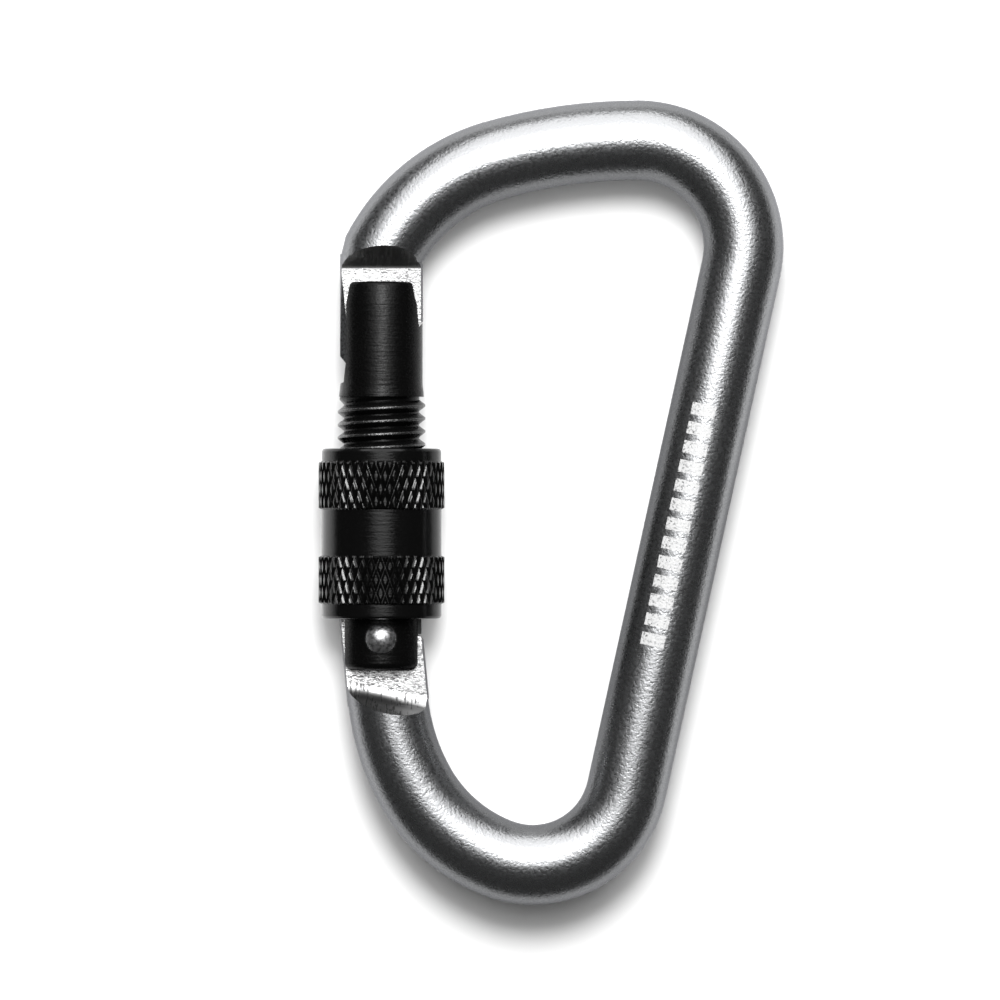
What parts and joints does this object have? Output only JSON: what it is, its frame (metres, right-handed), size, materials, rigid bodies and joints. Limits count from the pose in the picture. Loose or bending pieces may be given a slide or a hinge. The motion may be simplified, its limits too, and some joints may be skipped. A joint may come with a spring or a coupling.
{
  "type": "screw-lock carabiner",
  "caption": "D-shaped bent-bar carabiner with a sprung slotted gate and a knurled screw sleeve that locks it.",
  "frame": {"origin": "under the middle of the outline, on the surface the part lies on", "axes": "+Y along the long axis towards the nose end, +X from the gate towards the spine, +Z through the thickness"},
  "size_m": [0.0466, 0.0804, 0.0126],
  "materials": {
    "anodised_bar": "bead-blasted and anodised grey, satin, with bare bright metal on the milled tangs",
    "black_gate": "turned and anodised black, satin",
    "black_sleeve": "turned and anodised black, satin, with diamond knurling",
    "rivet_steel": "bright headed steel",
    "follower_steel": "blackened steel",
    "spring_steel": "plain spring wire"
  },
  "bodies": {
    "frame": {"frame": "anodised_bar"},
    "gate": {"gate": "black_gate", "hinge_rivet": "rivet_steel", "gate_spring": "spring_steel"},
    "sleeve": {"lock_sleeve": "black_sleeve"},
    "follower": {"follower": "follower_steel"}
  },
  "joints": [
    {"name": "gate_hinge", "type": "hinge", "parent": "frame", "child": "gate", "pos_m": [-0.01696, -0.01355, 0.0063], "axis": [0, 0, -1], "range_deg": [0, 38], "stiffness_Nm_per_rad": 0.04, "springref_deg": -68.75},
    {"name": "sleeve_slide", "type": "slide", "parent": "gate", "child": "sleeve", "axis": [0, 1, 0], "range_m": [0, 0.019]},
    {"name": "follower_slide", "type": "slide", "parent": "gate", "child": "follower", "axis": [0, 1, 0], "range_m": [0, 0.0026], "deforming": ["gate_spring"]}
  ],
  "couplings": [
    {"joint": "follower_slide", "follows": "gate_hinge", "m_per_rad": 0.0036}
  ]
}
